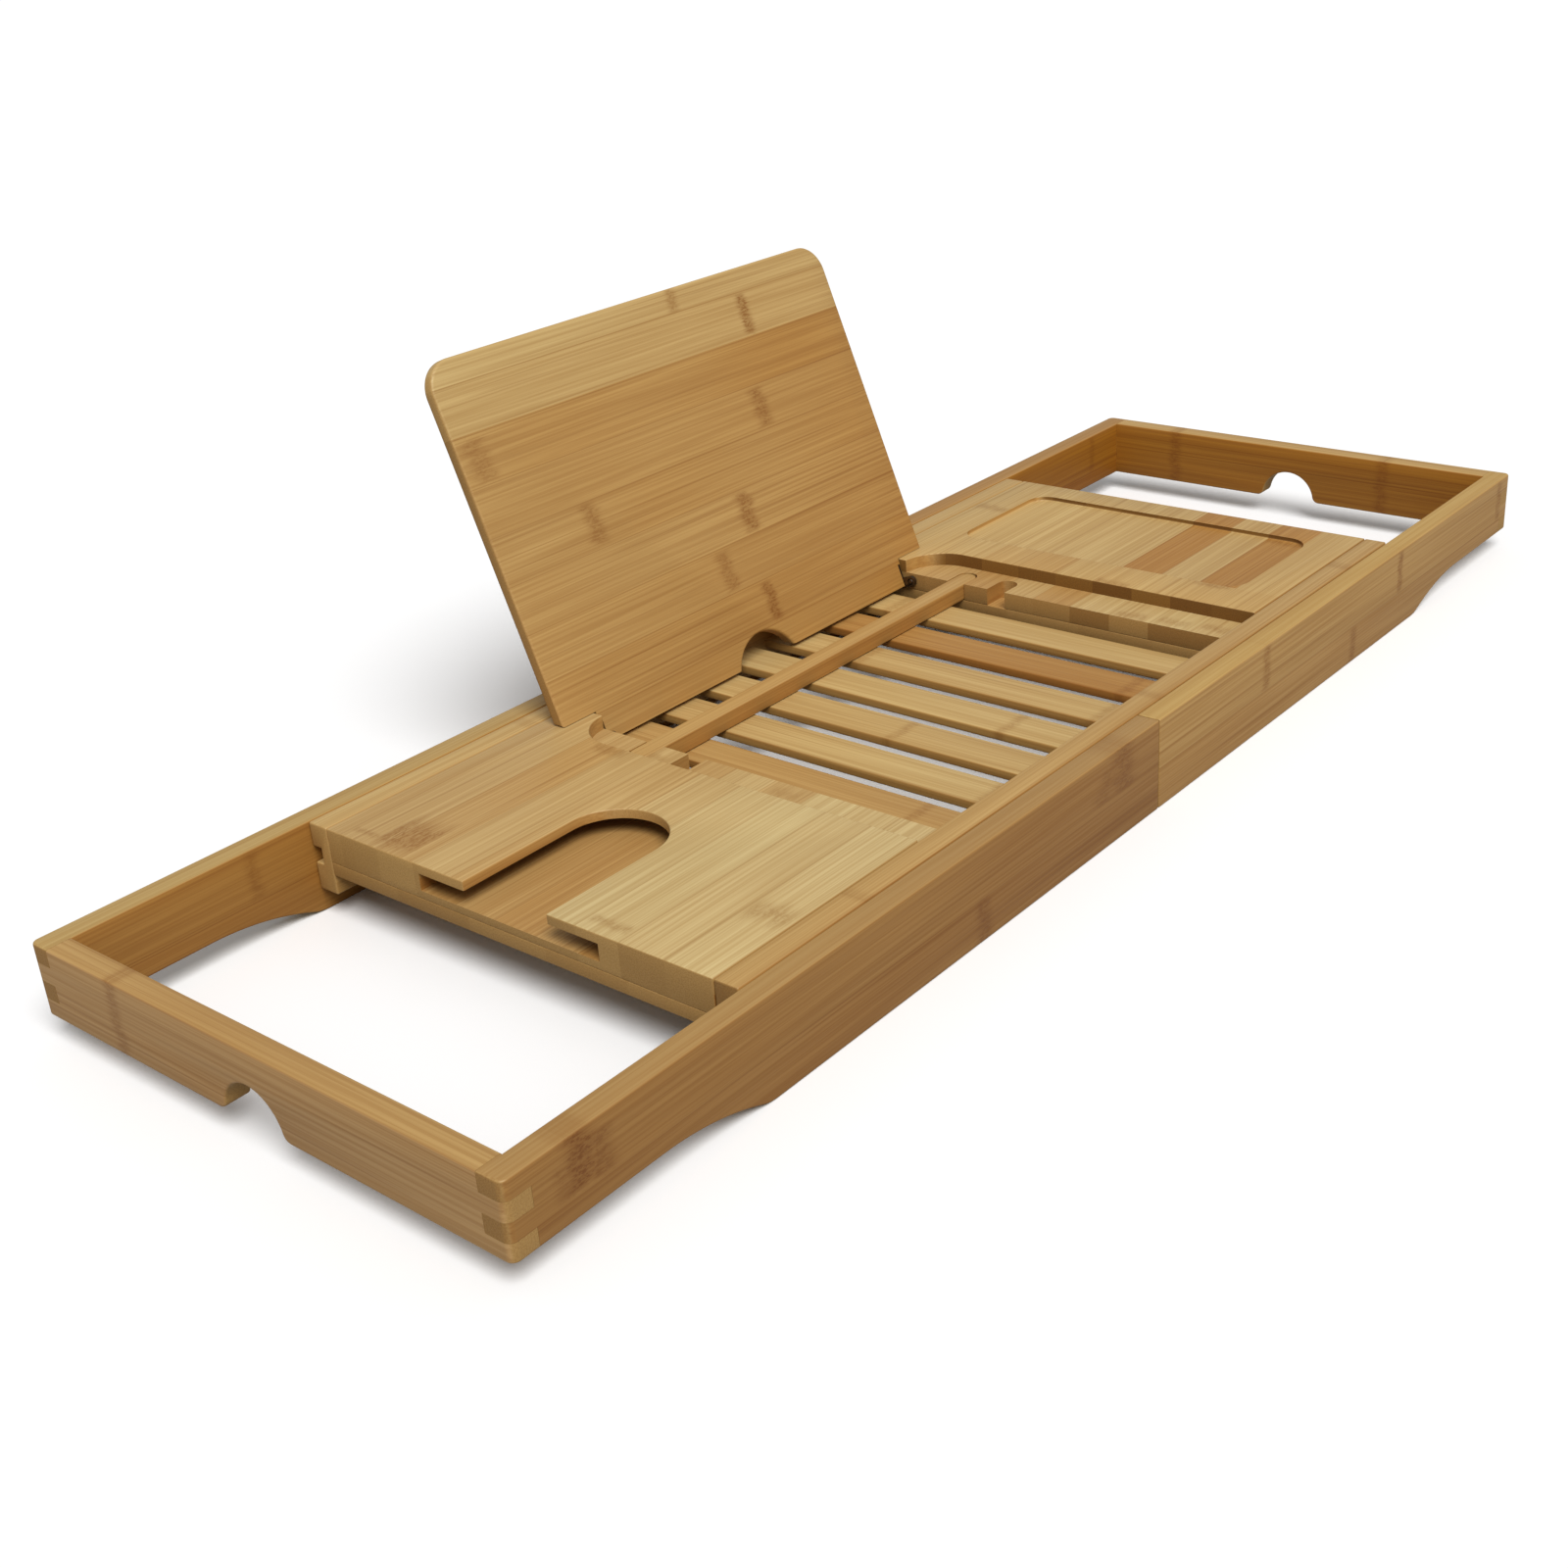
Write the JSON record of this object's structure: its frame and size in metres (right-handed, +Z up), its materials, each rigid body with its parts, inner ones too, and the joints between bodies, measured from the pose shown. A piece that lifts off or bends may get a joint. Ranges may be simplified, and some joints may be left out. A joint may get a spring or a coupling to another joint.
{
  "type": "bath caddy",
  "caption": "Slatted bamboo bath tray in a sliding frame, with a folding book rest, a loose book stop, a slot for a glass and a soap dish.",
  "frame": {"origin": "centre of the bounding box's base, with the frames closed and the book rest raised", "axes": "+X to the soap dish's end, +Y to the long side that the book rest leans over, +Z up"},
  "size_m": [0.69, 0.2546, 0.1782],
  "materials": {
    "bamboo_light": "pale bamboo strips with straight grain, satin varnish",
    "bamboo_honey": "honey bamboo with straight grain and faint nodes, satin varnish",
    "bamboo_amber": "orange-brown bamboo with straight grain, satin varnish",
    "bamboo_toast": "dark bamboo, unvarnished",
    "dark_steel": "dark plated steel"
  },
  "bodies": {
    "tray": {"front_rail": "bamboo_honey", "back_rail": "bamboo_honey", "slide_stop_peg_1": "bamboo_toast", "slide_stop_peg_2": "bamboo_toast", "slide_stop_peg_3": "bamboo_toast", "slide_stop_peg_4": "bamboo_toast", "slat_1": "bamboo_amber", "slat_2": "bamboo_light", "slat_3": "bamboo_light", "slat_4": "bamboo_light", "slat_5": "bamboo_light", "slat_6": "bamboo_amber", "slat_7": "bamboo_light", "left_top_plate": "bamboo_light", "left_core": "bamboo_honey", "left_bottom_board": "bamboo_honey", "left_pivot_pin": "dark_steel", "right_top_plate": "bamboo_light", "right_core": "bamboo_honey", "right_bottom_board": "bamboo_honey", "right_pivot_pin": "dark_steel", "book_stop_bar": "bamboo_honey"},
    "left_frame": {"left_end_board": "bamboo_honey", "left_front_side_board": "bamboo_honey", "left_back_side_board": "bamboo_honey", "left_front_runner": "bamboo_honey", "left_back_runner": "bamboo_honey", "left_runner_screw_1": "dark_steel", "left_runner_screw_2": "dark_steel", "left_runner_screw_3": "dark_steel", "left_runner_screw_4": "dark_steel"},
    "right_frame": {"right_end_board": "bamboo_honey", "right_front_side_board": "bamboo_honey", "right_back_side_board": "bamboo_honey", "right_front_runner": "bamboo_honey", "right_back_runner": "bamboo_honey", "right_runner_screw_1": "dark_steel", "right_runner_screw_2": "dark_steel", "right_runner_screw_3": "dark_steel", "right_runner_screw_4": "dark_steel"},
    "book_rest": {"book_rest_panel": "bamboo_honey", "left_pivot_lug": "dark_steel", "right_pivot_lug": "dark_steel", "lug_pin_1": "dark_steel", "lug_pin_2": "dark_steel", "lug_pin_3": "dark_steel", "lug_pin_4": "dark_steel"}
  },
  "joints": [
    {"name": "left_frame_slide", "type": "slide", "parent": "tray", "child": "left_frame", "axis": [-1, 0, 0], "range_m": [0, 0.173]},
    {"name": "right_frame_slide", "type": "slide", "parent": "tray", "child": "right_frame", "axis": [1, 0, 0], "range_m": [0, 0.161]},
    {"name": "book_rest_fold", "type": "hinge", "parent": "tray", "child": "book_rest", "pos_m": [-0.006, 0.0609, 0.02849], "axis": [1, 0, 0], "range_deg": [0, 111]}
  ]
}
